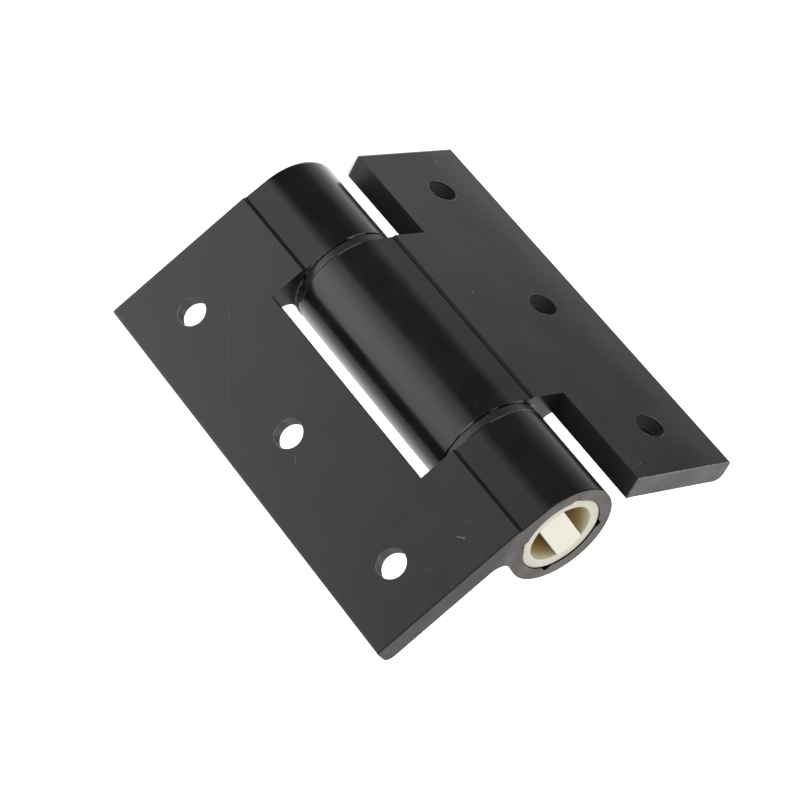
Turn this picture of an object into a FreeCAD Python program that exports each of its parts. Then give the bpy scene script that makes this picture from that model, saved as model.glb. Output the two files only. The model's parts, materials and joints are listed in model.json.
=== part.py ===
import FreeCAD, Part

import math
import os

import Sketcher
from FreeCAD import Rotation, Vector

# Free swing butt hinge: two extruded leaves that turn on a captive steel pin in keyed nylon bushes.
# Leaves and bushes are drawn about the barrel axis, which is Z. In a leaf's own section, X runs from
# the barrel to the leaf's outer edge, and -Y is the way its flat seating face looks.
# The row's origin is the centre of the frame leaf's screw row, on its seating face.

# Driving dimensions, in millimetres and degrees.
SIZES = {
    "leaf_length": 100.0,
    "leaf_width": 41.35,
    "leaf_thickness": 5.2,
    "seat_rise": 0.7,
    "seat_edge_radius": 0.5,
    "outer_edge_radius": 2.0,
    "root_fillet": 3.5,
    "step_offset": 5.45,
    "step_height": 0.45,
    "step_hollow_radius": 0.65,
    "step_brow_radius": 0.35,
    "barrel_radius": 12.05,
    "barrel_wall": 2.85,
    "key_depth": 0.95,
    "key_corner_radius": 0.6,
    "end_knuckle_length": 22.95,
    "knuckle_clearance": 1.7,
    "hole_margin": 12.95,
    "hole_diameter": 6.3,
    "countersink_diameter": 10.6,
    "countersink_angle": 90.0,
    "washer_thickness": 1.85,
    "washer_gap_above": 0.15,
    "washer_gap_below": 0.2,
    "washer_relief": 0.15,
    "washer_bevel": 0.15,
    "washer_bore_clearance": 0.3,
    "bush_clearance": 0.05,
    "bush_recess": 0.28,
    "bush_rim_radius": 0.15,
    "pocket_edge_radius": 0.3,
    "bush_wall": 2.05,
    "web_width": 6.1,
    "web_turn": 3.0,
    "pocket_floor": 1.0,
    "key_recess": 1.2,
    "grease_gap": 10.0,
    "pin_radius": 4.0,
    "pin_clearance": 0.05,
    "pin_end_cover": 10.0,
    "pin_end_play": 0.2,
    "pin_bevel": 0.6,
    "rest_bend": 53.4,
}

# Sizes that follow from them, as expressions on the sheet's cells.
SEAT_OFFSET = "(Sizes.barrel_radius + Sizes.seat_rise)"
UNDERSIDE = f"({SEAT_OFFSET} - Sizes.leaf_thickness)"
BORE_RADIUS = "(Sizes.barrel_radius - Sizes.barrel_wall)"
KEY_REACH = f"({BORE_RADIUS} + Sizes.key_depth)"
KEY_SQUARE = f"(2 * (({KEY_REACH} - Sizes.key_corner_radius) / sqrt(2) + Sizes.key_corner_radius))"
HALF_LENGTH = "(Sizes.leaf_length / 2)"
HALF_SLOT = f"({HALF_LENGTH} - Sizes.end_knuckle_length)"
WASHER_SPACE = "(Sizes.washer_gap_above + Sizes.washer_thickness + Sizes.washer_gap_below)"
HALF_KNUCKLE = f"({HALF_SLOT} - {WASHER_SPACE})"
WASHER_TO_FACE = "(Sizes.washer_gap_above + Sizes.washer_thickness / 2)"
UPPER_WASHER_HEIGHT = f"({HALF_SLOT} - {WASHER_TO_FACE})"
LOWER_WASHER_HEIGHT = f"(-{HALF_KNUCKLE} - {WASHER_TO_FACE})"
NOTCH_EDGE = "(Sizes.barrel_radius + Sizes.knuckle_clearance)"
PAST_BARREL = "(Sizes.barrel_radius + Sizes.root_fillet)"
PAST_END = f"({HALF_LENGTH} + Sizes.root_fillet)"
CUT_DEPTH = f"(4 * {SEAT_OFFSET})"
BORE_LENGTH = "(2 * Sizes.leaf_length)"
SCREW_ROW = "(Sizes.leaf_width - Sizes.hole_margin)"
HOLE_PITCH = f"({HALF_LENGTH} - Sizes.hole_margin)"
BUSH_RADIUS = f"({BORE_RADIUS} - Sizes.bush_clearance)"
BUSH_SQUARE = f"({KEY_SQUARE} - 2 * Sizes.bush_clearance)"
POCKET_RADIUS = f"({BUSH_RADIUS} - Sizes.bush_wall)"
POCKET_DEPTH = "(Sizes.pin_end_cover - Sizes.pin_end_play - Sizes.bush_recess - Sizes.pocket_floor)"
END_BUSH_HEIGHT = f"({HALF_LENGTH} - Sizes.bush_recess)"
END_BUSH_LENGTH = "(Sizes.end_knuckle_length - Sizes.bush_recess)"
KNUCKLE_BUSH_HEIGHT = f"({HALF_KNUCKLE} - Sizes.bush_recess)"
KNUCKLE_BUSH_LENGTH = f"({KNUCKLE_BUSH_HEIGHT} - Sizes.grease_gap / 2)"
HALF_PIN = f"({HALF_LENGTH} - Sizes.pin_end_cover)"
PIN_BORE = "(Sizes.pin_radius + Sizes.pin_clearance)"
SOCKET_DEPTH = f"({HALF_PIN} + Sizes.pin_end_play - {HALF_SLOT})"
WASHER_RADIUS = "(Sizes.barrel_radius - Sizes.washer_relief)"
WASHER_BORE = "(Sizes.pin_radius + Sizes.washer_bore_clearance)"

# Turns about the barrel: the door leaf's rest angle, and the half turns that make a lower or facing piece.
UNTURNED = "rotation(vector(0; 0; 1); 0)"
DOOR_SWING = "rotation(vector(0; 0; 1); -Sizes.rest_bend)"
END_FOR_END = "rotation(vector(1; 0; 0); 180)"
FACING = "rotation(vector(0; 1; 0); 180)"

# A sketch element's places, and the sketch's own origin.
START, END, CENTRE = 1, 2, 3
ORIGIN = (-1, 1)
NORMAL = Vector(0, 0, 1)
QUARTER = 90
NEAR_ZERO = 1e-6

doc = FreeCAD.newDocument("free_swing_butt_hinge")
sheet = doc.addObject("Spreadsheet::Sheet", "Sizes")
for row, (alias, size) in enumerate(SIZES.items(), start=1):
    sheet.set(f"A{row}", alias)
    sheet.set(f"B{row}", str(size))
    sheet.setAlias(f"B{row}", alias)
doc.recompute()


def number(expression):
    return float(sheet.evalExpression(expression))


def new_body(label, height="0", turn=UNTURNED):
    """A piece drawn about the barrel axis, turned and set at a height along it."""
    body = doc.addObject("PartDesign::Body", label)
    body.Label = label
    base = f"vector(-{SCREW_ROW}; {SEAT_OFFSET}; {height})"
    body.setExpression("Placement", f"placement({base}; {turn})")
    return body


def new_sketch(body, name, role, offset="0", turn="0"):
    """A sketch on one of the body's planes, moved off it and turned about its normal."""
    sketch = body.newObject("Sketcher::SketchObject", f"{body.Name}_{name}")
    plane = next(item for item in body.Origin.OriginFeatures if item.Role == role)
    sketch.AttachmentSupport = [(plane, "")]
    sketch.MapMode = "FlatFace"
    base, about_normal = f"vector(0; 0; {offset})", f"rotation(vector(0; 0; 1); {turn})"
    sketch.setExpression("AttachmentOffset", f"placement({base}; {about_normal})")
    return sketch


def constrain(sketch, kind, *places):
    sketch.addConstraint(Sketcher.Constraint(kind, *places))


def dimension(sketch, kind, places, expression):
    """A dimension that follows the sheet."""
    index = sketch.addConstraint(Sketcher.Constraint(kind, *places, number(expression)))
    sketch.setExpression(f"Constraints[{index}]", expression)


def add_line(sketch, first, last):
    return sketch.addGeometry(Part.LineSegment(Vector(*first), Vector(*last)), False)


def add_arc(sketch, centre, radius, start_angle, end_angle):
    """An arc that runs anticlockwise between two angles in degrees."""
    circle = Part.Circle(Vector(*centre), NORMAL, radius)
    arc = Part.ArcOfCircle(circle, math.radians(start_angle), math.radians(end_angle))
    return sketch.addGeometry(arc, False)


def add_circle(sketch, radius, centre=(0, 0)):
    circle = sketch.addGeometry(Part.Circle(Vector(*centre), NORMAL, number(radius)), False)
    dimension(sketch, "Radius", (circle,), radius)
    return circle


def centred_circle(sketch, radius):
    circle = add_circle(sketch, radius)
    constrain(sketch, "Coincident", circle, CENTRE, *ORIGIN)


def rectangle(sketch, left, right, low, high):
    """A rectangle between four distances from the sketch's origin."""
    x0, x1, y0, y1 = (number(edge) for edge in (left, right, low, high))
    corners = [(x0, y0), (x1, y0), (x1, y1), (x0, y1)]
    sides = [add_line(sketch, corners[i - 1], corners[i]) for i in range(4)]
    for i, side in enumerate(sides):
        constrain(sketch, "Coincident", sides[i - 1], END, side, START)
        constrain(sketch, "Horizontal" if i % 2 else "Vertical", side)
    near_side, bottom, far_side, top = sides
    dimension(sketch, "DistanceX", (*ORIGIN, near_side, START), left)
    dimension(sketch, "DistanceX", (*ORIGIN, far_side, START), right)
    dimension(sketch, "DistanceY", (*ORIGIN, bottom, START), low)
    dimension(sketch, "DistanceY", (*ORIGIN, top, START), high)


def rounded_square(sketch, side_length, corner_radius):
    """A square about the sketch's origin, with rounded corners."""
    half, corner = number(side_length) / 2, number(corner_radius)
    flat = half - corner
    sides, rounds = [], []
    for angle in range(0, 4 * QUARTER, QUARTER):
        turn = Rotation(NORMAL, angle)
        places = Vector(half, -flat), Vector(half, flat), Vector(flat, flat)
        first, last, centre = (turn.multVec(place) for place in places)
        sides.append(add_line(sketch, first, last))
        rounds.append(add_arc(sketch, centre, corner, angle, angle + QUARTER))
    for i in range(4):
        constrain(sketch, "Tangent", sides[i], END, rounds[i], START)
        constrain(sketch, "Tangent", rounds[i - 1], END, sides[i], START)
        constrain(sketch, "Horizontal" if i % 2 else "Vertical", sides[i])
    right, top, left, bottom = sides
    constrain(sketch, "Symmetric", right, START, left, START, *ORIGIN)
    constrain(sketch, "Symmetric", top, START, bottom, START, *ORIGIN)
    dimension(sketch, "Radius", (rounds[0],), corner_radius)
    dimension(sketch, "Radius", (rounds[1],), corner_radius)
    dimension(sketch, "DistanceX", (left, START, right, START), side_length)
    dimension(sketch, "DistanceY", (bottom, START, top, START), side_length)


def add_feature(kind, body, sketch, length, symmetric=False, backwards=False):
    """A Pad along its sketch's normal, or a Pocket against it, unless it runs backwards."""
    feature = body.newObject(f"PartDesign::{kind}", f"{sketch.Name}_{kind.lower()}")
    feature.Profile = sketch
    feature.setExpression("Length", length)
    feature.SideType = "Symmetric" if symmetric else "One side"
    feature.Reversed = backwards


def soften(kind, body, size_name, size, chosen):
    """A Fillet or Chamfer on those edges of the body so far that a test picks out."""
    doc.recompute()
    base = body.Tip
    names = [f"Edge{i}" for i, edge in enumerate(base.Shape.Edges, start=1) if chosen(edge)]
    feature = body.newObject(f"PartDesign::{kind}", f"{body.Name}_{kind.lower()}")
    feature.Base = (base, names)
    feature.setExpression(size_name, size)


def is_level(edge, height):
    """Whether an edge lies all at one height along the barrel."""
    box = edge.BoundBox
    return abs(box.ZMin - height) < NEAR_ZERO and abs(box.ZMax - height) < NEAR_ZERO


def is_round(edge, radius):
    return isinstance(edge.Curve, Part.Circle) and abs(edge.Curve.Radius - number(radius)) < NEAR_ZERO


def leaf_section(body):
    """The extrusion's outline: plate, rounded outer edge, root fillet, barrel, land and step to the plate."""
    radius, fillet = number("Sizes.barrel_radius"), number("Sizes.root_fillet")
    seat, under, width = number(f"-{SEAT_OFFSET}"), number(f"-{UNDERSIDE}"), number("Sizes.leaf_width")
    seat_round, edge_round = number("Sizes.seat_edge_radius"), number("Sizes.outer_edge_radius")
    step, rise = number("Sizes.step_offset"), number("Sizes.step_height")
    hollow, brow = number("Sizes.step_hollow_radius"), number("Sizes.step_brow_radius")
    land_y = seat + rise
    slope = math.acos(1 - rise / (hollow + brow))
    land_end = step - (hollow + brow) * math.sin(slope)
    slope_angle = math.degrees(slope)
    fillet_y = under + fillet
    fillet_x = math.sqrt((radius + fillet) ** 2 - fillet_y ** 2)
    root_angle = math.degrees(math.atan2(fillet_y, fillet_x))
    land_reach = math.hypot(land_end, land_y)
    crown_angle = math.degrees(math.atan2(land_y, land_end) - math.acos(radius / land_reach)) + 4 * QUARTER
    crown = (radius * math.cos(math.radians(crown_angle)), radius * math.sin(math.radians(crown_angle)))

    sketch = new_sketch(body, "section", "XY_Plane")
    seat_face = add_line(sketch, (step, seat), (width - seat_round, seat))
    seat_corner = add_arc(sketch, (width - seat_round, seat + seat_round), seat_round, -QUARTER, 0)
    outer_edge = add_line(sketch, (width, seat + seat_round), (width, under - edge_round))
    edge_corner = add_arc(sketch, (width - edge_round, under - edge_round), edge_round, 0, QUARTER)
    underside = add_line(sketch, (width - edge_round, under), (fillet_x, under))
    root = add_arc(sketch, (fillet_x, fillet_y), fillet, root_angle + 2 * QUARTER, 3 * QUARTER)
    barrel = add_arc(sketch, (0, 0), radius, root_angle, crown_angle)
    land = add_line(sketch, crown, (land_end, land_y))
    step_hollow = add_arc(sketch, (land_end, land_y - hollow), hollow, QUARTER - slope_angle, QUARTER)
    step_brow = add_arc(sketch, (step, seat + brow), brow, 3 * QUARTER - slope_angle, 3 * QUARTER)

    constrain(sketch, "Coincident", barrel, CENTRE, *ORIGIN)
    constrain(sketch, "Tangent", seat_face, END, seat_corner, START)
    constrain(sketch, "Tangent", seat_corner, END, outer_edge, START)
    constrain(sketch, "Tangent", outer_edge, END, edge_corner, START)
    constrain(sketch, "Tangent", edge_corner, END, underside, START)
    constrain(sketch, "Tangent", underside, END, root, END)
    constrain(sketch, "Tangent", root, START, barrel, START)
    constrain(sketch, "Tangent", barrel, END, land, START)
    constrain(sketch, "Tangent", land, END, step_hollow, END)
    constrain(sketch, "Tangent", step_hollow, START, step_brow, START)
    constrain(sketch, "Tangent", step_brow, END, seat_face, START)
    constrain(sketch, "Horizontal", seat_face)
    constrain(sketch, "Horizontal", underside)
    constrain(sketch, "Vertical", outer_edge)
    dimension(sketch, "Radius", (barrel,), "Sizes.barrel_radius")
    dimension(sketch, "Radius", (root,), "Sizes.root_fillet")
    dimension(sketch, "Radius", (seat_corner,), "Sizes.seat_edge_radius")
    dimension(sketch, "Radius", (edge_corner,), "Sizes.outer_edge_radius")
    dimension(sketch, "Radius", (step_hollow,), "Sizes.step_hollow_radius")
    dimension(sketch, "Radius", (step_brow,), "Sizes.step_brow_radius")
    dimension(sketch, "DistanceY", (seat_face, START, *ORIGIN), SEAT_OFFSET)
    dimension(sketch, "DistanceY", (seat_face, END, underside, START), "Sizes.leaf_thickness")
    dimension(sketch, "DistanceX", (*ORIGIN, outer_edge, START), "Sizes.leaf_width")
    dimension(sketch, "DistanceX", (*ORIGIN, seat_face, START), "Sizes.step_offset")
    dimension(sketch, "DistanceY", (seat_face, START, land, END), "Sizes.step_height")
    return sketch


def knuckle_bore(body):
    """The bore that the extrusion has all along: a round, and the square whose corners key the bushes."""
    bore = new_sketch(body, "bore", "XY_Plane")
    centred_circle(bore, BORE_RADIUS)
    add_feature("Pocket", body, bore, BORE_LENGTH, symmetric=True)
    key = new_sketch(body, "key", "XY_Plane")
    rounded_square(key, KEY_SQUARE, "Sizes.key_corner_radius")
    add_feature("Pocket", body, key, BORE_LENGTH, symmetric=True)


def screw_holes(body):
    """Three holes in a row along the leaf, countersunk from the underside."""
    sketch = new_sketch(body, "screws", "XZ_Plane", offset=UNDERSIDE)
    for height in (f"-{HOLE_PITCH}", "0", HOLE_PITCH):
        circle = add_circle(sketch, "Sizes.hole_diameter / 2", (number(SCREW_ROW), number(height)))
        dimension(sketch, "DistanceX", (*ORIGIN, circle, CENTRE), SCREW_ROW)
        dimension(sketch, "DistanceY", (*ORIGIN, circle, CENTRE), height)
    doc.recompute()
    holes = body.newObject("PartDesign::Hole", f"{body.Name}_holes")
    holes.Profile = sketch
    holes.DepthType = "ThroughAll"
    holes.HoleCutType = "Countersink"
    holes.HoleCutCustomValues = True
    holes.setExpression("Diameter", "Sizes.hole_diameter")
    holes.setExpression("HoleCutDiameter", "Sizes.countersink_diameter")
    holes.setExpression("HoleCutCountersinkAngle", "Sizes.countersink_angle")
    holes.Reversed = True


def new_leaf(label, turn, cuts):
    """A length of the extrusion, bored, drilled, and cut away where the other leaf's knuckles run."""
    body = new_body(label, turn=turn)
    add_feature("Pad", body, leaf_section(body), "Sizes.leaf_length", symmetric=True)
    knuckle_bore(body)
    for name, low, high in cuts:
        sketch = new_sketch(body, name, "XZ_Plane")
        rectangle(sketch, f"-{PAST_BARREL}", NOTCH_EDGE, low, high)
        add_feature("Pocket", body, sketch, CUT_DEPTH, symmetric=True)
    screw_holes(body)


def keyed_bush(label, height, length, turn):
    """A round bush, drawn down from its outer end, with four ribs that fill the bore's square corners."""
    body = new_body(label, height, turn)
    ring = new_sketch(body, "ring", "XY_Plane")
    centred_circle(ring, BUSH_RADIUS)
    add_feature("Pad", body, ring, length, backwards=True)
    ribs = new_sketch(body, "ribs", "XY_Plane", offset="-Sizes.key_recess")
    rounded_square(ribs, BUSH_SQUARE, "Sizes.key_corner_radius")
    add_feature("Pad", body, ribs, f"{length} - Sizes.key_recess", backwards=True)
    return body


def pin_bore(body, length, depth):
    """A bore for the pin, from the bush's inner end."""
    sketch = new_sketch(body, "pin_bore", "XY_Plane", offset=f"-{length}")
    centred_circle(sketch, PIN_BORE)
    add_feature("Pocket", body, sketch, depth, backwards=True)


def web_pockets(body):
    """Two D-shaped pockets in the outer end, which leave a web that is turned a little from the ribs."""
    sketch = new_sketch(body, "pockets", "XY_Plane", turn="-Sizes.web_turn")
    half_web, radius = number("Sizes.web_width / 2"), number(POCKET_RADIUS)
    reach = math.degrees(math.acos(half_web / radius))
    chord = math.sqrt(radius ** 2 - half_web ** 2)
    for side, middle in ((1, 0), (-1, 2 * QUARTER)):
        arc = add_arc(sketch, (0, 0), radius, middle - reach, middle + reach)
        flat = add_line(sketch, (side * half_web, side * chord), (side * half_web, -side * chord))
        constrain(sketch, "Coincident", arc, CENTRE, *ORIGIN)
        constrain(sketch, "Coincident", arc, END, flat, START)
        constrain(sketch, "Coincident", flat, END, arc, START)
        constrain(sketch, "Vertical", flat)
        dimension(sketch, "Radius", (arc,), POCKET_RADIUS)
        dimension(sketch, "DistanceX", (*ORIGIN, flat, START), f"{side} * Sizes.web_width / 2")
    add_feature("Pocket", body, sketch, POCKET_DEPTH)


def is_bush_rim(edge):
    return is_level(edge, 0) and is_round(edge, BUSH_RADIUS)


def is_pocket_mouth(edge):
    return is_level(edge, 0) and not is_round(edge, BUSH_RADIUS)


def end_bush(label, height, turn):
    """An end bush, closed by its web, with a blind socket that traps the pin."""
    body = keyed_bush(label, height, END_BUSH_LENGTH, turn)
    pin_bore(body, END_BUSH_LENGTH, SOCKET_DEPTH)
    web_pockets(body)
    soften("Fillet", body, "Radius", "Sizes.pocket_edge_radius", is_pocket_mouth)
    soften("Fillet", body, "Radius", "Sizes.bush_rim_radius", is_bush_rim)


def knuckle_bush(label, height, turn):
    """A bearing bush of the middle knuckle, which turns on the pin."""
    body = keyed_bush(label, height, KNUCKLE_BUSH_LENGTH, turn)
    pin_bore(body, KNUCKLE_BUSH_LENGTH, KNUCKLE_BUSH_LENGTH)


def thrust_washer(label, height):
    body = new_body(label, height)
    ring = new_sketch(body, "ring", "XY_Plane")
    centred_circle(ring, WASHER_RADIUS)
    centred_circle(ring, WASHER_BORE)
    add_feature("Pad", body, ring, "Sizes.washer_thickness", symmetric=True)
    soften("Chamfer", body, "Size", "Sizes.washer_bevel", lambda edge: is_round(edge, WASHER_RADIUS))


def pivot_pin(label):
    body = new_body(label)
    rod = new_sketch(body, "rod", "XY_Plane")
    centred_circle(rod, "Sizes.pin_radius")
    add_feature("Pad", body, rod, f"2 * {HALF_PIN}", symmetric=True)
    soften("Chamfer", body, "Size", "Sizes.pin_bevel", lambda edge: is_round(edge, "Sizes.pin_radius"))


new_leaf("frame_leaf", UNTURNED, [("slot", f"-{HALF_SLOT}", HALF_SLOT)])
new_leaf("door_leaf", f"{DOOR_SWING} * {FACING}", [
    ("lower_notch", f"-{PAST_END}", f"-{HALF_KNUCKLE}"),
    ("upper_notch", HALF_KNUCKLE, PAST_END),
])
end_bush("upper_end_bush", END_BUSH_HEIGHT, UNTURNED)
end_bush("lower_end_bush", f"-{END_BUSH_HEIGHT}", END_FOR_END)
knuckle_bush("upper_knuckle_bush", KNUCKLE_BUSH_HEIGHT, DOOR_SWING)
knuckle_bush("lower_knuckle_bush", f"-{KNUCKLE_BUSH_HEIGHT}", f"{DOOR_SWING} * {END_FOR_END}")
thrust_washer("upper_thrust_washer", UPPER_WASHER_HEIGHT)
thrust_washer("lower_thrust_washer", LOWER_WASHER_HEIGHT)
pivot_pin("pivot_pin")
doc.recompute()

# Every feature has to have worked, every cut to have taken material, and every piece to be one valid solid.
failed = [item.Label for item in doc.Objects if {"Invalid", "Error"} & set(item.State)]
cuts = [item for item in doc.Objects if item.TypeId in ("PartDesign::Pocket", "PartDesign::Hole")]
failed += [cut.Label for cut in cuts if cut.Shape.Volume > cut.BaseFeature.Shape.Volume - NEAR_ZERO]
pieces = [item for item in doc.Objects if item.TypeId == "PartDesign::Body"]
failed += [body.Label for body in pieces if body.Shape.isNull() or not body.Shape.isValid()]
failed += [body.Label for body in pieces if len(body.Shape.Solids) != 1]
if failed:
    raise RuntimeError(f"not built: {', '.join(failed)}")

os.makedirs("parts", exist_ok=True)
for body in pieces:
    body.Shape.exportStep(f"parts/{body.Label}.step")
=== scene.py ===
"""Looks for the free swing butt hinge: finishes, floor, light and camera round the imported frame."""

import json
from functools import reduce
from math import tau
from types import SimpleNamespace

import bpy
from mathutils import Matrix, Vector


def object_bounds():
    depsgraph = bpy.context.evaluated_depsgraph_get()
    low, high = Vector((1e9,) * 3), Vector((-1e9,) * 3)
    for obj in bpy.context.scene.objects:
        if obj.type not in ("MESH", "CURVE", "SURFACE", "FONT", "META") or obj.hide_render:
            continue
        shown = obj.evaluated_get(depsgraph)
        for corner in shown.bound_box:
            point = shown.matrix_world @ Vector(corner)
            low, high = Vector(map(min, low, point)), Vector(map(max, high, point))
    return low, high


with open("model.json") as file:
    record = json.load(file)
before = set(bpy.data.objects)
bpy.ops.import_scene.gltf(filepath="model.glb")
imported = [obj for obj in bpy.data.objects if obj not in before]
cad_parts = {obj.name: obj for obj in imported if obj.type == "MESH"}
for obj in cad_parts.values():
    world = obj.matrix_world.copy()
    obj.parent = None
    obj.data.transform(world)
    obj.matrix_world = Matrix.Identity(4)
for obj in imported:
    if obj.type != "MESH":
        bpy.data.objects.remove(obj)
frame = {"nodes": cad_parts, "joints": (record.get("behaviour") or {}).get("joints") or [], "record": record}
CAD_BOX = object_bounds()

# Sizes are in millimetres, in the frame of the model: the barrel stands along Z.
MM = 0.001
MOUNTS = {mount["name"]: mount for mount in frame["record"]["mounts"]}
SCREWS = MOUNTS["frame_leaf_screws"]["dims"]
BARREL_AXIS = Vector(frame["joints"][0]["pos_m"]) / MM
HALF_LENGTH = CAD_BOX[1][2] / MM
HOLE_PITCH = SCREWS["spacing_y_mm"] / 2
HOLE_RADIUS = SCREWS["hole_r_mm"]
COUNTERSINK_RADIUS = 5.3
STRAIGHT_BORE = 3.05
BARREL_RADIUS = 12.05
KEY_REACH = 10.2
NOTCH_FACE = 13.75
POCKET_RADIUS = 7.1

# A range is where a zone begins and where it is full, or where it starts to fade and where it ends. Where it
# has four values, the last two are what it gives at each.
# Zones of a leaf: how squarely a face looks one way, heights along the barrel, and distances.
SAWN_FACING = (0.85, 0.97)
# Only the outer ends take the lighter sawn tone; the cut end faces in the slots keep the satin black as
# painted shade.
OUTER_END_HEIGHT = (HALF_LENGTH - 1.0, HALF_LENGTH - 0.5)
BARREL_BORE = (KEY_REACH, KEY_REACH + 0.2)
HOLE_EDGE = (COUNTERSINK_RADIUS, COUNTERSINK_RADIUS + 0.1)
HOLE_FACING = (0.85, 0.95)
HOLE_MOUTH = (0.05, 0.25)
CONE_START = (STRAIGHT_BORE - 0.05, STRAIGHT_BORE + 0.05)
MILLED_FACING = (0.90, 0.97)
MILLED_REACH = (0.25, 0.55)
# Wear and painted highlights on a leaf's edges: chips round its ends, with a painted highlight line along
# them on the door leaf, and painted highlight lines along the knuckles beside the washers and round the
# holes.
END_WEAR_AND_HIGHLIGHT = (HALF_LENGTH - 0.30, HALF_LENGTH - 0.14)
CUT_EDGE_WEAR_AND_HIGHLIGHT = (0.08, 0.26)
KNUCKLE_HIGHLIGHT = (0.04, 0.20)
ON_BARREL = (BARREL_RADIUS + 0.2, BARREL_RADIUS + 0.5)
HOLE_RIM = HOLE_RADIUS + 0.10
HOLE_RIM_HIGHLIGHT = (0.03, 0.13)
HOLE_RIM_DEPTH = (0.04, 0.10)
CHIP_SOFTNESS = 0.08
# The edge round a sawn end is rolled off over the last part of the leaf's length.
ROLLED_END = (HALF_LENGTH - 0.45, HALF_LENGTH)
# Painted light: a leaf is paler past its screw row, and less so towards its upper end.
PAINTED_LIGHT_PAST_ROW = (1.0, 15.0)
PAINTED_LIGHT_AT_TOP = 0.75
# In a screw hole: a painted highlight on the lip round the end of the straight part, and painted shade just
# inside the mouth.
LIP_WIDTH = (0.06, 0.16)
LIP_HIGHLIGHT_GAIN = 2.5
MOUTH_SHADE = (0.15, 0.55, 0.8, 0.0)
# On a sawn end, the barrel's ring is lighter than the plate.
CUT_RING = (BARREL_RADIUS, BARREL_RADIUS + 3.0)
CUT_RING_GAIN = 2.5

# Noises: cycles per millimetre, detail, and the stretch along each axis where it isn't even.
MOTTLE = (0.09, 5.0)
DIE_LINES = (2.4, 3.0, (1.0, 1.0, 0.012))
HAIRLINES = (1.0, 1.0, (2.2, 2.2, 0.05))
SAW_LINES = (3.2, 3.0, (0.06, 1.0, 1.0))
NICKS = (1.8, 3.0)
NYLON_CLOUD = (0.22, 3.0)
NYLON_PEEL = (2.6, 2.0)
NYLON_GRAIN = (11.0, 2.0)
WASHER_CLOUD = (0.5, 3.0)
WASHER_GRAIN = (8.0, 2.0)
PIN_LINES = (9.0, 3.0, (0.05, 0.05, 1.0))
PIN_CLOUD = (0.3, 3.0)
# Patches: a noise, then its low and high end, and the value at each.
MARK_PATCHES = ((0.45, 2.0), (0.35, 0.62, 0.25, 1.0))
KNUCKLE_PATCHES = ((0.22, 3.0), (0.46, 0.60, 0.0, 0.7))
RIM_PATCHES = ((0.35, 2.0), (0.42, 0.62, 0.0, 0.35))
LIP_PATCHES = ((0.6, 2.0), (0.40, 0.60))
SAW_PATCHES = ((0.16, 3.0), (0.35, 0.65))
# Specks all over a leaf: cells per millimetre, size in cells, and share of the cells that have one.
SPECKS = (0.16, 0.030, 0.30)
SPECK_STRENGTH = 0.12
# The share of a speck's or mark's width that is full, before it fades.
SPECK_CORE = 0.4
MARK_CORE = 0.2

# Marks on each show face: two ends as (distance out from the barrel, height), width, strength.
LEAF_MARKS = {
    "frame_leaf": (
        ((21.0, -33.0), (34.0, -15.0), 0.25, 0.03),
        ((15.2, 41.9), (14.3, 43.2), 0.20, 0.28),
        ((30.0, 4.6), (31.2, 6.6), 0.18, 0.06),
        ((24.1, 42.6), (23.2, 43.6), 0.16, 0.05),
        ((22.0, 49.0), (22.0, 49.6), 0.16, 0.08),
        ((38.6, 48.0), (38.7, 48.1), 0.25, 0.06),
        ((11.9, 40.4), (11.5, 41.3), 0.16, 0.04),
        ((0.9, 41.6), (0.8, 42.1), 0.18, 0.12),
    ),
    "door_leaf": (
        ((32.8, -45.0), (34.3, -46.9), 0.22, 0.10),
        ((12.9, -6.1), (13.1, -6.0), 0.24, 0.20),
        ((17.0, 46.4), (17.8, 46.2), 0.20, 0.12),
        ((29.2, -13.6), (29.3, -13.7), 0.18, 0.09),
        ((24.8, -12.9), (24.9, -12.9), 0.16, 0.06),
        ((26.3, -9.7), (26.4, -9.7), 0.16, 0.05),
    ),
}
# How each leaf differs: painted light towards its outer edge, tone and metal share of its holes, gain of its
# sawn ends, chipped share of its edges, how light the painted highlight line along them is, depth of the
# roll-off there, and the height of its knuckle's edge.
LEAF_TONES = {
    "frame_leaf": {"pale": 0.010, "hole": 0.010, "hole_metal": 0.0, "cut": 0.68, "chipped": 0.32,
                   "edge_highlight": 0.0, "roll": 0.085, "knuckle_edge": 27.05},
    "door_leaf": {"pale": 0.027, "hole": 0.048, "hole_metal": 1.0, "cut": 1.4, "chipped": 0.50,
                  "edge_highlight": 0.40, "roll": 0.015, "knuckle_edge": 24.85},
}

# Colours of the anodised leaves.
SATIN_DARK = (0.0025, 0.0026, 0.0032, 1.0)
SATIN_LIGHT = (0.0120, 0.0116, 0.0118, 1.0)
PAINTED_LIGHT_BLUE = 0.0005
MILLED_GREY = 0.010
MARK_GREY = 0.42
# Grey of the chips, and of the painted highlights along edges and round hole rims.
WEAR_AND_HIGHLIGHT_GREY = 0.16
# Painted shade just inside a screw hole's mouth.
MOUTH_SHADE_GREY = 0.004
# Painted shade: the barrel's bore is near black.
BORE_SHADE_GREY = 0.002
CONE_COLOUR = (0.045, 0.045, 0.046, 1.0)
# Tones of a sawn end's dark and light saw lines, each in its dark and in its light patches.
SAW_DARK = (0.014, 0.030)
SAW_LIGHT = (0.034, 0.056)
CUT_PLATE_HUE = (1.0, 0.95, 0.92, 1.0)
CUT_RING_HUE = (1.0, 0.88, 0.76, 1.0)
# Their gloss: roughness by mottle and die lines, then of the other zones, and the colour of what they
# reflect, dulled near black in the cones and the barrel's bore as painted shade.
SATIN_GLOSS = (0.25, 0.75, 0.20, 0.27)
DIE_LINE_GLOSS = (0.3, 0.7, -0.01, 0.01)
CUT_ROUGHNESS = 0.50
BARE_HOLE_ROUGHNESS = 0.8
CONE_ROUGHNESS = 0.40
SATIN_REFLECTION = (0.97, 0.965, 1.0, 1.0)
DULL_REFLECTION = 0.05
BARREL_BORE_DULLNESS = 0.8
DIE_LINE_DEPTH = 0.00012
HAIRLINE_DEPTH = 0.0002
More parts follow.
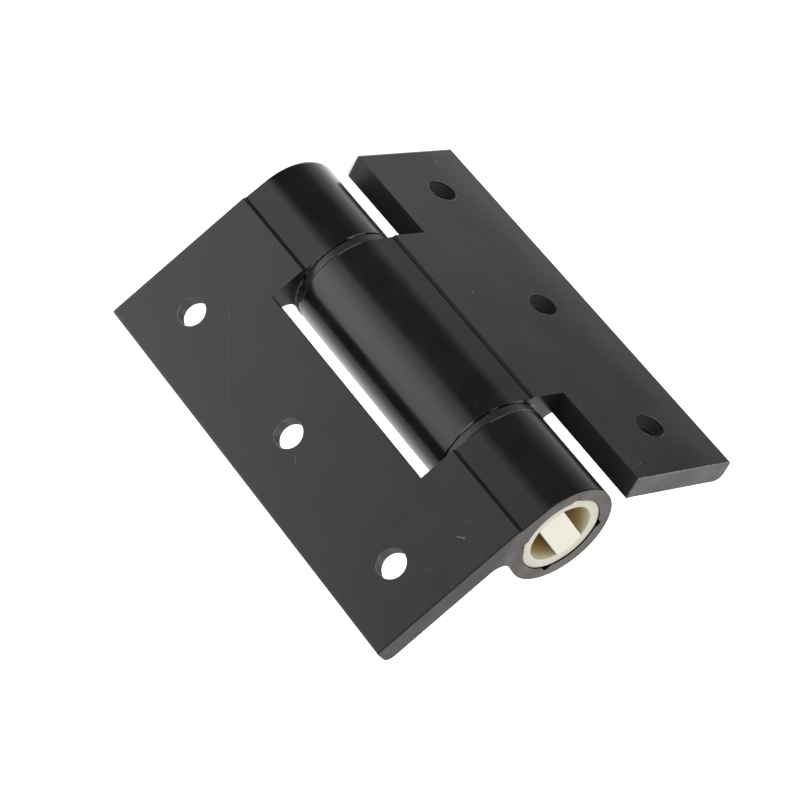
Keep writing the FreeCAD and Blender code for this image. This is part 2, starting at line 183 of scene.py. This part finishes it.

# Moulded nylon: its colours, the greyer ring, and the painted shade of its pockets, darker and browner by
# depth below its end.
NYLON_DARK = (0.535, 0.515, 0.44, 1.0)
NYLON_LIGHT = (0.575, 0.555, 0.48, 1.0)
NYLON_RING = (0.430, 0.412, 0.355, 1.0)
NYLON_POCKET_SHADE = (0.52, 0.41, 0.195, 1.0)
NYLON_RING_REACH = (POCKET_RADIUS - 0.7, POCKET_RADIUS + 0.5)
POCKET_EDGE = (POCKET_RADIUS + 0.2, POCKET_RADIUS + 0.5)
POCKET_SHADE_SHALLOW = (0.32, 0.9, 0.0, 0.25)
POCKET_SHADE_DEEP = (0.9, 3.6, 0.0, 0.75)
NYLON_GLOSS = (0.3, 0.7, 0.42, 0.54)
NYLON_PEEL_DEPTH = 0.005
NYLON_GRAIN_DEPTH = 0.0012
NYLON_SUBSURFACE = 0.25
NYLON_SUBSURFACE_RADIUS = (1.0, 0.85, 0.6)
NYLON_SUBSURFACE_SCALE = 1.5

# Turned washers: their colours, and the rings on their faces in radians per millimetre.
WASHER_DARK = (0.010, 0.010, 0.011, 1.0)
WASHER_LIGHT = (0.019, 0.019, 0.020, 1.0)
WASHER_GLOSS = (0.3, 0.7, 0.30, 0.40)
WASHER_RINGS = 26.0
WASHER_RING_DEPTH = 0.003
WASHER_GRAIN_DEPTH = 0.002

# Ground pin.
STEEL_DARK = (0.50, 0.50, 0.51, 1.0)
STEEL_LIGHT = (0.62, 0.62, 0.63, 1.0)
STEEL_GLOSS = (0.3, 0.7, 0.20, 0.34)
STEEL_LINE_DEPTH = 0.002

# Camera, fitted to the photograph: place from the barrel's middle, and its three directions.
CAMERA_FROM_BARREL = Vector((-15.65, -521.87, 299.37))
CAMERA_RIGHT = Vector((-0.75625, 0.34772, 0.55423))
CAMERA_UP = Vector((-0.65314, -0.35124, -0.67085))
CAMERA_FORWARD = Vector((0.0386, 0.86932, -0.49274))
CAMERA_LENS = 133.65
CAMERA_SENSOR = 36.0
CAMERA_CLIP_METRES = (0.01, 50.0)

# The studio's brightness below the horizon, by direction round the barrel: share of a turn, brightness.
# The share is 0.5 towards -Y, 0.75 towards +X and 0.25 towards -X.
STUDIO_ROUND = (
    (0.000, 0.600),
    (0.080, 0.680),
    (0.135, 0.500),
    (0.190, 0.260),
    (0.205, 0.232),
    (0.230, 0.175),
    (0.262, 0.028),
    (0.300, 0.011),
    (0.455, 0.011),
    (0.472, 0.440),
    (0.500, 0.465),
    (0.545, 0.870),
    (0.610, 1.000),
    (0.667, 0.800),
    (0.700, 0.560),
    (0.740, 0.340),
    (0.790, 0.210),
    (0.850, 0.580),
    (0.880, 0.700),
    (0.910, 0.670),
    (1.000, 0.600),
)
STUDIO_LEVEL = 2.6
# It is brighter further down, and dim again straight below, where only the floor would show. These ranges
# are heights of the direction, and their last two values are factors.
STUDIO_DEPTH = (-0.70, -0.32, 1.52, 0.32)
STUDIO_NADIR = (-0.96, -0.74, 0.25, 1.0)
HORIZON = (0.0, 0.25)
# Overhead it has a wide soft light on each side, with dimmer sky between, dimmest in front.
SKY_FRONT_TO_BACK = (-0.6, 0.3, 0.50, 0.85)
LIGHT_AT_DOOR_SIDE = (0.12, -0.35)
LIGHT_AT_FRAME_SIDE = (0.15, 0.55)
SIDE_LIGHT = 1.9
WHITE = (1.0, 1.0, 1.0, 1.0)
FLOOR_SIZE_METRES = 8.0
FLOOR_GAP = 0.05
FLOOR_GLOW = 0.5
FLOOR_ROUGHNESS = 0.9
FLOOR_COLOUR = (0.93, 0.93, 0.93, 1.0)


def add(tree, kind, inputs=None, **settings):
    """Adds a shader node. An input given as a socket is linked, and any other value is set."""
    node = tree.nodes.new("ShaderNode" + kind)
    for name, value in settings.items():
        setattr(node, name, value)
    for key, value in (inputs or {}).items():
        if isinstance(value, bpy.types.NodeSocket):
            tree.links.new(value, node.inputs[key])
        else:
            node.inputs[key].default_value = value
    return node


def calc(tree, operation, a, b=0.0, c=0.0):
    return add(tree, "Math", {0: a, 1: b, 2: c}, operation=operation).outputs[0]


def product(tree, *values):
    return reduce(lambda a, b: calc(tree, "MULTIPLY", a, b), values)


def largest(tree, *values):
    return reduce(lambda a, b: calc(tree, "MAXIMUM", a, b), values)


def outside(tree, mask):
    return calc(tree, "SUBTRACT", 1.0, mask)


def distance_to(tree, value, target):
    return calc(tree, "ABSOLUTE", calc(tree, "SUBTRACT", value, target))


def vector_calc(tree, operation, a, b=(0.0, 0.0, 0.0)):
    node = add(tree, "VectorMath", {0: a, 1: b}, operation=operation)
    return node.outputs["Value" if operation in ("DOT_PRODUCT", "LENGTH", "DISTANCE") else "Vector"]


def along_z(tree, vector):
    return add(tree, "SeparateXYZ", {0: vector}).outputs["Z"]


def from_barrel_axis(tree, place):
    offset = vector_calc(tree, "SUBTRACT", place, tuple(BARREL_AXIS))
    return vector_calc(tree, "LENGTH", vector_calc(tree, "MULTIPLY", offset, (1.0, 1.0, 0.0)))


def ramp(tree, value, low, high, start=0.0, end=1.0):
    """Goes smoothly from start, where the value is low, to end, where it is high."""
    inputs = {"Value": value, "From Min": low, "From Max": high, "To Min": start, "To Max": end}
    return add(tree, "MapRange", inputs, interpolation_type="SMOOTHSTEP").outputs["Result"]


def fade(tree, value, low, high, full=1.0):
    """Goes smoothly from full, where the value is low, to nothing, where it is high."""
    return ramp(tree, value, low, high, full, 0.0)


def grey(level):
    return (level, level, level, 1.0)


def mix_colour(tree, factor, a, b):
    return add(tree, "Mix", {0: factor, 6: a, 7: b}, data_type="RGBA").outputs[2]


def mix_value(tree, factor, a, b):
    return add(tree, "Mix", {0: factor, 2: a, 3: b}, data_type="FLOAT").outputs[0]


def noise(tree, place, scale, detail, stretch=(1.0, 1.0, 1.0)):
    """Cloudy noise; scale is in cycles per millimetre, times the stretch along each axis."""
    stretched = vector_calc(tree, "MULTIPLY", place, stretch)
    inputs = {"Vector": stretched, "Scale": scale, "Detail": detail}
    return add(tree, "TexNoise", inputs).outputs[0]


def patches(tree, place, cloud, levels):
    """Noise drawn out between two levels, so that it comes in patches."""
    return ramp(tree, noise(tree, place, *cloud), *levels)


def bump(tree, height, depth_mm, normal=None):
    inputs = {"Height": height, "Strength": 1.0, "Distance": depth_mm * MM}
    if normal:
        inputs["Normal"] = normal
    return add(tree, "Bump", inputs).outputs["Normal"]


def new_material(name):
    """A material, its node tree and its shader."""
    material = bpy.data.materials.new(name)
    material.use_nodes = True
    tree = material.node_tree
    return material, tree, tree.nodes["Principled BSDF"]


def place_and_facing(tree):
    """The point on the piece, in millimetres, and the way its surface looks there."""
    source = add(tree, "TexCoord").outputs
    place = add(tree, "VectorMath", {0: source["Object"], "Scale": 1 / MM}, operation="SCALE")
    return place.outputs["Vector"], source["Normal"]


def use(tree, shader, **sockets):
    """Links or sets the shader's sockets by name, with spaces written as underscores."""
    for name, value in sockets.items():
        socket = shader.inputs[name.replace("_", " ")]
        if isinstance(value, bpy.types.NodeSocket):
            tree.links.new(value, socket)
        else:
            socket.default_value = value


def specks(tree, place, per_mm, size, share):
    """Small round dots: a share of the cells has one, of that size in cells."""
    cell = add(tree, "TexVoronoi", {"Vector": place, "Scale": per_mm}).outputs
    dot = fade(tree, cell["Distance"], size * SPECK_CORE, size)
    draw = add(tree, "SeparateColor", {0: cell["Color"]}).outputs[0]
    return product(tree, dot, calc(tree, "GREATER_THAN", draw, 1 - share))


def mark(tree, place, start, end, width, strength):
    """A scratch or nick between two points, faded towards its edges."""
    run = end - start
    offset = vector_calc(tree, "SUBTRACT", place, tuple(start))
    along = vector_calc(tree, "DOT_PRODUCT", offset, tuple(run / run.length_squared))
    along = calc(tree, "MINIMUM", calc(tree, "MAXIMUM", along, 0.0), 1.0)
    nearest = add(tree, "VectorMath", {0: tuple(run), "Scale": along}, operation="SCALE").outputs["Vector"]
    distance = vector_calc(tree, "DISTANCE", offset, nearest)
    return fade(tree, distance, width * MARK_CORE, width, strength)


def leaf_frame(leaf):
    """A leaf's show face: the way it looks, the way out, its rise and its screw row's distance."""
    screws = MOUNTS[leaf + "_screws"]
    facing = Vector(screws["axis"])
    centre = Vector(screws["pos_m"]) / MM - BARREL_AXIS
    rise = centre.dot(facing)
    row = centre - facing * rise
    return facing, row.normalized(), rise, row.length


def leaf_places(tree, leaf):
    """Where a point is on a leaf and how its surface faces, for the zones and tones below."""
    place, normal = place_and_facing(tree)
    facing, along, rise, row = leaf_frame(leaf)
    from_axis = vector_calc(tree, "SUBTRACT", place, tuple(BARREL_AXIS))
    out = vector_calc(tree, "DOT_PRODUCT", from_axis, tuple(along))
    past_row = calc(tree, "SUBTRACT", out, row)
    height = along_z(tree, place)
    from_hole = calc(tree, "WRAP", height, HOLE_PITCH / 2, -HOLE_PITCH / 2)
    squared = calc(tree, "MULTIPLY_ADD", from_hole, from_hole, product(tree, past_row, past_row))
    return SimpleNamespace(
        place=place,
        radius=from_barrel_axis(tree, place),
        past_row=past_row,
        from_screw=calc(tree, "SQRT", squared),
        from_notch=distance_to(tree, out, NOTCH_FACE),
        below=calc(tree, "SUBTRACT", rise, vector_calc(tree, "DOT_PRODUCT", from_axis, tuple(facing))),
        height=height,
        end_height=calc(tree, "ABSOLUTE", height),
        end_on=calc(tree, "ABSOLUTE", along_z(tree, normal)),
        faced_under=vector_calc(tree, "DOT_PRODUCT", normal, tuple(-facing)),
        faced_in=calc(tree, "ABSOLUTE", vector_calc(tree, "DOT_PRODUCT", normal, tuple(along))),
    )


def leaf_zones(tree, at):
    """Masks of the faces that aren't satin: sawn ends, screw holes, their cones, notches, barrel's bore."""
    # Only the outer ends count as sawn; the slots' cut end faces keep the satin black as painted shade.
    sawn = product(tree, ramp(tree, at.end_on, *SAWN_FACING), ramp(tree, at.end_height, *OUTER_END_HEIGHT))
    hole = product(tree, fade(tree, at.from_screw, *HOLE_EDGE), fade(tree, at.faced_under, *HOLE_FACING),
                   ramp(tree, at.below, *HOLE_MOUTH))
    return SimpleNamespace(
        sawn=sawn,
        hole=hole,
        cone=product(tree, hole, ramp(tree, at.below, *CONE_START)),
        milled=product(tree, ramp(tree, at.faced_in, *MILLED_FACING),
                       fade(tree, at.from_notch, *MILLED_REACH)),
        barrel_bore=product(tree, fade(tree, at.radius, *BARREL_BORE), outside(tree, sawn)),
    )


def leaf_marks(tree, leaf, place):
    """Specks, scratches and nicks on a leaf, broken up by patches."""
    facing, along, rise, _ = leaf_frame(leaf)
    middle = BARREL_AXIS + facing * rise
    marks = product(tree, specks(tree, place, *SPECKS), SPECK_STRENGTH)
    for *ends, width, strength in LEAF_MARKS[leaf]:
        start, end = (middle + along * far + Vector((0.0, 0.0, high)) for far, high in ends)
        marks = largest(tree, marks, mark(tree, place, start, end, width, strength))
    return product(tree, marks, patches(tree, place, *MARK_PATCHES))


def wear_and_edge_highlights(tree, at, zones, tones):
    """Where the black is chipped off the ends' edges, and painted highlights along those edges, the
    knuckles' edges and the screw holes' rims.
    """
    end_edge = product(tree, ramp(tree, at.end_height, *END_WEAR_AND_HIGHLIGHT), outside(tree, zones.sawn))
    end_edge = largest(tree, end_edge, product(tree, zones.sawn, fade(tree, at.below, *CUT_EDGE_WEAR_AND_HIGHLIGHT)))
    intact = 1.0 - tones["chipped"]
    nicks = noise(tree, at.place, *NICKS)
    # Chips are wear; the leaf's tone for the line along its ends adds a painted highlight line all along
    # them.
    chips_and_edge_highlight = ramp(tree, nicks, intact, intact + CHIP_SOFTNESS, tones["edge_highlight"])
    from_edge = distance_to(tree, at.end_height, tones["knuckle_edge"])
    # Painted highlight along the knuckle's edges beside the washers.
    knuckle = product(tree, fade(tree, from_edge, *KNUCKLE_HIGHLIGHT), fade(tree, at.radius, *ON_BARREL),
                      patches(tree, at.place, *KNUCKLE_PATCHES))
    from_rim = distance_to(tree, at.from_screw, HOLE_RIM)
    # Painted highlight round the rims of the screw holes.
    rim = product(tree, fade(tree, from_rim, *HOLE_RIM_HIGHLIGHT), fade(tree, at.below, *HOLE_RIM_DEPTH),
                  patches(tree, at.place, *RIM_PATCHES))
    wear_and_highlights = largest(tree, product(tree, end_edge, chips_and_edge_highlight), rim, knuckle)
    return product(tree, wear_and_highlights, outside(tree, zones.barrel_bore))


def satin_colour(tree, leaf, at, zones, mottle):
    """The anodised faces: mottled black, with painted light that makes them paler towards the outer edge,
    and marks.
    """
    tone = LEAF_TONES[leaf]["pale"]
    colour = mix_colour(tree, mottle, SATIN_DARK, SATIN_LIGHT)
    # Painted light: paler past the screw row and less so towards the upper end, by each leaf's own amount.
    pale = product(tree, ramp(tree, at.past_row, *PAINTED_LIGHT_PAST_ROW),
                   ramp(tree, at.height, -HALF_LENGTH, HALF_LENGTH, 1.0, PAINTED_LIGHT_AT_TOP))
    colour = mix_colour(tree, pale, colour, (tone, tone, tone + PAINTED_LIGHT_BLUE, 1.0))
    colour = mix_colour(tree, zones.milled, colour, grey(MILLED_GREY))
    return mix_colour(tree, leaf_marks(tree, leaf, at.place), colour, grey(MARK_GREY))


def hole_colour(tree, at, zones, tone):
    """A screw hole's wall: painted shade at its mouth, with a painted highlight on the lip where the cone
    begins.
    """
    lip = product(tree, fade(tree, distance_to(tree, at.below, STRAIGHT_BORE), *LIP_WIDTH),
                  patches(tree, at.place, *LIP_PATCHES))
    # Painted highlight on the lip where the cone begins.
    colour = mix_colour(tree, lip, grey(tone), grey(LIP_HIGHLIGHT_GAIN * tone))
    # Painted shade just inside the mouth.
    colour = mix_colour(tree, ramp(tree, at.below, *MOUTH_SHADE), colour, grey(MOUTH_SHADE_GREY))
    return mix_colour(tree, zones.cone, colour, CONE_COLOUR)


def cut_colour(tree, at, gain):
    """A sawn end: saw lines and patches of grey, warmer and lighter round the barrel."""
    cloud = patches(tree, at.place, *SAW_PATCHES)
    tone = mix_value(tree, noise(tree, at.place, *SAW_LINES), mix_value(tree, cloud, *SAW_DARK),
                     mix_value(tree, cloud, *SAW_LIGHT))
    ring = fade(tree, at.radius, *CUT_RING)
    tone = product(tree, tone, mix_value(tree, ring, gain, CUT_RING_GAIN * gain))
    return vector_calc(tree, "MULTIPLY", mix_colour(tree, ring, CUT_PLATE_HUE, CUT_RING_HUE), tone)


def anodised_leaf(leaf):
    """Black anodised extrusion: satin faces with die lines and marks, dull holes and paler sawn ends."""
    material, tree, shader = new_material("black_anodised_" + leaf)
    tones = LEAF_TONES[leaf]
    at = leaf_places(tree, leaf)
    zones = leaf_zones(tree, at)
    mottle = noise(tree, at.place, *MOTTLE)
    die_lines = noise(tree, at.place, *DIE_LINES)
    bare_hole = product(tree, zones.hole, tones["hole_metal"])

    colour = mix_colour(tree, zones.hole, satin_colour(tree, leaf, at, zones, mottle),
                        hole_colour(tree, at, zones, tones["hole"]))
    colour = mix_colour(tree, zones.sawn, colour, cut_colour(tree, at, tones["cut"]))
    # Painted shade: the barrel's bore is coloured near black.
    colour = mix_colour(tree, zones.barrel_bore, colour, grey(BORE_SHADE_GREY))
    # Chips of bare grey, and painted highlights along edges and round hole rims.
    colour = mix_colour(tree, wear_and_edge_highlights(tree, at, zones, tones), colour, grey(WEAR_AND_HIGHLIGHT_GREY))

    rough = calc(tree, "ADD", ramp(tree, mottle, *SATIN_GLOSS), ramp(tree, die_lines, *DIE_LINE_GLOSS))
    rough = mix_value(tree, largest(tree, zones.sawn, zones.hole, zones.milled), rough, CUT_ROUGHNESS)
    rough = mix_value(tree, bare_hole, rough, BARE_HOLE_ROUGHNESS)
    rough = mix_value(tree, zones.cone, rough, CONE_ROUGHNESS)
    # Painted shade: reflections are dulled to near black in the cones and the barrel's bore.
    dull = largest(tree, zones.cone, product(tree, zones.barrel_bore, BARREL_BORE_DULLNESS))

    relief = bump(tree, fade(tree, at.end_height, *ROLLED_END), tones["roll"])
    relief = bump(tree, die_lines, DIE_LINE_DEPTH, relief)
    relief = bump(tree, noise(tree, at.place, *HAIRLINES), HAIRLINE_DEPTH, relief)
    use(tree, shader, Base_Color=colour, Roughness=rough, Normal=relief,
        Metallic=largest(tree, zones.cone, bare_hole),
        Specular_Tint=mix_colour(tree, dull, SATIN_REFLECTION, grey(DULL_REFLECTION)))
    return material


def cream_nylon(name, mouth=0):
    """Moulded ivory nylon. An end bush opens up, 1, or down, -1, with a greyer ring and painted shade in its
    pockets.
    """
    material, tree, shader = new_material(name)
    place, _ = place_and_facing(tree)
    peel = noise(tree, place, *NYLON_PEEL)
    colour = mix_colour(tree, noise(tree, place, *NYLON_CLOUD), NYLON_DARK, NYLON_LIGHT)
    if mouth:
        depth = calc(tree, "SUBTRACT", HALF_LENGTH, product(tree, along_z(tree, place), float(mouth)))
        radius = from_barrel_axis(tree, place)
        colour = mix_colour(tree, ramp(tree, radius, *NYLON_RING_REACH), colour, NYLON_RING)
        # Painted shade in the pockets: darker and browner with depth below the end, fading out at the
        # pocket's edge.
        pocket_shade = calc(tree, "ADD", ramp(tree, depth, *POCKET_SHADE_SHALLOW), ramp(tree, depth, *POCKET_SHADE_DEEP))
        pocket_shade = product(tree, pocket_shade, fade(tree, radius, *POCKET_EDGE))
        colour = mix_colour(tree, pocket_shade, colour, NYLON_POCKET_SHADE)
    relief = bump(tree, peel, NYLON_PEEL_DEPTH)
    relief = bump(tree, noise(tree, place, *NYLON_GRAIN), NYLON_GRAIN_DEPTH, relief)
    use(tree, shader, Base_Color=colour, Roughness=ramp(tree, peel, *NYLON_GLOSS), Normal=relief,
        Subsurface_Weight=NYLON_SUBSURFACE, Subsurface_Radius=NYLON_SUBSURFACE_RADIUS,
        Subsurface_Scale=NYLON_SUBSURFACE_SCALE * MM)
    return material


def black_washer():
    """Black acetal, turned, with faint rings on its faces."""
    material, tree, shader = new_material("black_acetal")
    place, _ = place_and_facing(tree)
    rings = calc(tree, "SINE", product(tree, from_barrel_axis(tree, place), WASHER_RINGS))
    cloud = noise(tree, place, *WASHER_CLOUD)
    colour = mix_colour(tree, cloud, WASHER_DARK, WASHER_LIGHT)
    relief = bump(tree, rings, WASHER_RING_DEPTH)
    relief = bump(tree, noise(tree, place, *WASHER_GRAIN), WASHER_GRAIN_DEPTH, relief)
    use(tree, shader, Base_Color=colour, Roughness=ramp(tree, cloud, *WASHER_GLOSS), Normal=relief)
    return material


def pin_steel():
    """Ground steel with fine turning lines round the pin."""
    material, tree, shader = new_material("ground_steel")
    place, _ = place_and_facing(tree)
    lines = noise(tree, place, *PIN_LINES)
    colour = mix_colour(tree, noise(tree, place, *PIN_CLOUD), STEEL_DARK, STEEL_LIGHT)
    use(tree, shader, Base_Color=colour, Roughness=ramp(tree, lines, *STEEL_GLOSS),
        Normal=bump(tree, lines, STEEL_LINE_DEPTH), Metallic=1.0)
    return material


def paint_nodes():
    """Gives every piece of the model its finish."""
    inner_nylon = cream_nylon("cream_nylon_inner")
    washer = black_washer()
    finishes = {
        "frame_leaf": (anodised_leaf("frame_leaf"), "anodised_leaf"),
        "door_leaf": (anodised_leaf("door_leaf"), "anodised_leaf"),
        "upper_end_bush": (cream_nylon("cream_nylon_upper", 1), "cream_nylon"),
        "lower_end_bush": (cream_nylon("cream_nylon_lower", -1), "cream_nylon"),
        "upper_knuckle_bush": (inner_nylon, "cream_nylon"),
        "lower_knuckle_bush": (inner_nylon, "cream_nylon"),
        "upper_thrust_washer": (washer, "black_washer"),
        "lower_thrust_washer": (washer, "black_washer"),
        "pivot_pin": (pin_steel(), "pin_steel"),
    }
    for name, (material, slot) in finishes.items():
        node = frame["nodes"][name]
        node.data.materials.clear()
        node.data.materials.append(material)


def studio_round(tree, share):
    """The brightness below the horizon, by share of a turn round the barrel."""
    around = add(tree, "ValToRGB", {0: share})
    stops = around.color_ramp.elements
    while len(stops) < len(STUDIO_ROUND):
        stops.new(0.5)
    for stop, (position, level) in zip(stops, STUDIO_ROUND):
        stop.position = position
        stop.color = grey(level)
    return around.outputs["Color"]


def studio():
    """Soft light from all round, with one darker side, so that round surfaces show light and dark bands."""
    world = bpy.data.worlds.new("studio")
    bpy.context.scene.world = world
    world.use_nodes = True
    tree = world.node_tree
    way = add(tree, "SeparateXYZ", {0: add(tree, "TexCoord").outputs["Generated"]}).outputs
    turn = calc(tree, "ARCTAN2", way["X"], product(tree, way["Y"], -1.0))
    around = studio_round(tree, calc(tree, "MULTIPLY_ADD", turn, 1 / tau, 0.5))
    low = product(tree, around, ramp(tree, way["Z"], *STUDIO_DEPTH),
                  ramp(tree, way["Z"], *STUDIO_NADIR), STUDIO_LEVEL)
    beside = calc(tree, "ADD", ramp(tree, way["X"], *LIGHT_AT_DOOR_SIDE),
                  ramp(tree, way["X"], *LIGHT_AT_FRAME_SIDE))
    high = mix_value(tree, beside, ramp(tree, way["Y"], *SKY_FRONT_TO_BACK), SIDE_LIGHT)
    level = mix_value(tree, ramp(tree, way["Z"], *HORIZON), low, high)
    light = tree.nodes["Background"]
    light.inputs["Color"].default_value = WHITE
    tree.links.new(level, light.inputs["Strength"])


def floor():
    """A plain pale floor under the lower end."""
    floor_height = -(HALF_LENGTH + FLOOR_GAP) * MM
    bpy.ops.mesh.primitive_plane_add(size=FLOOR_SIZE_METRES, location=(0.0, 0.0, floor_height))
    plane = bpy.context.object
    plane.name = "floor"
    material, tree, shader = new_material("pale_floor")
    use(tree, shader, Base_Color=FLOOR_COLOUR, Roughness=FLOOR_ROUGHNESS, Emission_Color=WHITE,
        Emission_Strength=FLOOR_GLOW)
    plane.data.materials.append(material)
    plane.visible_glossy = False


def camera():
    lens = bpy.data.cameras.new("photo_camera")
    lens.lens = CAMERA_LENS
    lens.sensor_width = CAMERA_SENSOR
    lens.clip_start, lens.clip_end = CAMERA_CLIP_METRES
    viewer = bpy.data.objects.new("photo_camera", lens)
    bpy.context.scene.collection.objects.link(viewer)
    turn = Matrix((CAMERA_RIGHT, CAMERA_UP, -CAMERA_FORWARD)).transposed().to_4x4()
    viewer.matrix_world = Matrix.Translation((BARREL_AXIS + CAMERA_FROM_BARREL) * MM) @ turn
    bpy.context.scene.camera = viewer


bpy.context.scene.view_settings.view_transform = "Standard"
paint_nodes()
studio()
floor()
camera()
